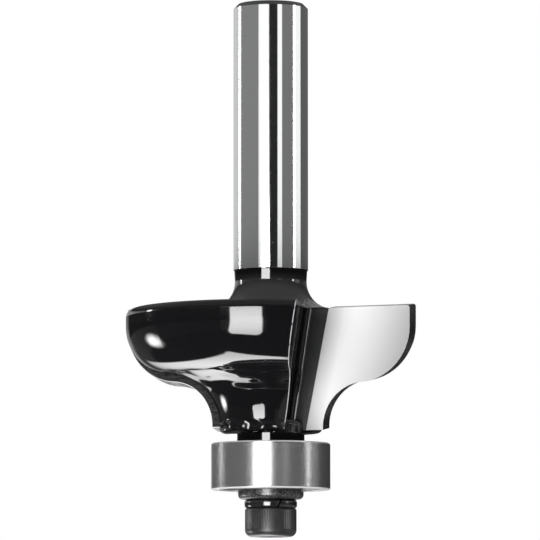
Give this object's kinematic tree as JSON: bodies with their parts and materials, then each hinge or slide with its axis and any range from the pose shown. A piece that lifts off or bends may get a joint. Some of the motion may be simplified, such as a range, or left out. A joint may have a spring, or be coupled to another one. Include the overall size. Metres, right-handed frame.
{
  "type": "router bit",
  "caption": "Ogee edge-forming router bit: plain shank, coated two-wing body with brazed carbide tips, pilot ball bearing held by a cap screw with washers.",
  "frame": {"origin": "on the turning axis, at the socket face of the pilot screw, which is the lowest point", "axes": "+Z along the turning axis towards the free end of the shank; +X towards the right-hand blade, whose cutting face looks towards -Y"},
  "size_m": [0.031, 0.0296, 0.0572],
  "materials": {
    "coated_steel": "polished shank above a gloss black coating on the neck, wings and nose",
    "carbide": "ground cemented carbide",
    "bearing_steel": "ground bearing steel",
    "ball_steel": "polished balls",
    "cage_steel": "pressed steel",
    "shield_steel": "pressed sheet steel",
    "spring_steel": "drawn wire",
    "dark_steel": "dark rough rolled steel",
    "black_oxide": "black oxide, satin"
  },
  "bodies": {
    "bit": {"cutter_body": "coated_steel", "carbide_tip_right": "carbide", "carbide_tip_left": "carbide", "bearing_inner_ring": "bearing_steel", "flat_washer": "dark_steel", "spring_washer": "black_oxide", "cap_screw": "black_oxide"},
    "pilot_ring": {"bearing_outer_ring": "bearing_steel", "upper_shield": "shield_steel", "lower_shield": "shield_steel", "upper_snap_ring": "spring_steel", "lower_snap_ring": "spring_steel"},
    "ball_set": {"bearing_ball_1": "ball_steel", "bearing_ball_2": "ball_steel", "bearing_ball_3": "ball_steel", "bearing_ball_4": "ball_steel", "bearing_ball_5": "ball_steel", "bearing_ball_6": "ball_steel", "bearing_ball_7": "ball_steel", "ball_cage": "cage_steel"}
  },
  "joints": [
    {"name": "pilot_spin", "type": "hinge", "parent": "bit", "child": "pilot_ring", "pos_m": [0, 0, 0.00749], "axis": [0, 0, 1], "continuous": true},
    {"name": "cage_spin", "type": "hinge", "parent": "bit", "child": "ball_set", "pos_m": [0, 0, 0.00749], "axis": [0, 0, 1], "continuous": true}
  ],
  "couplings": [
    {"joint": "cage_spin", "follows": "pilot_spin", "ratio": 0.6363}
  ]
}
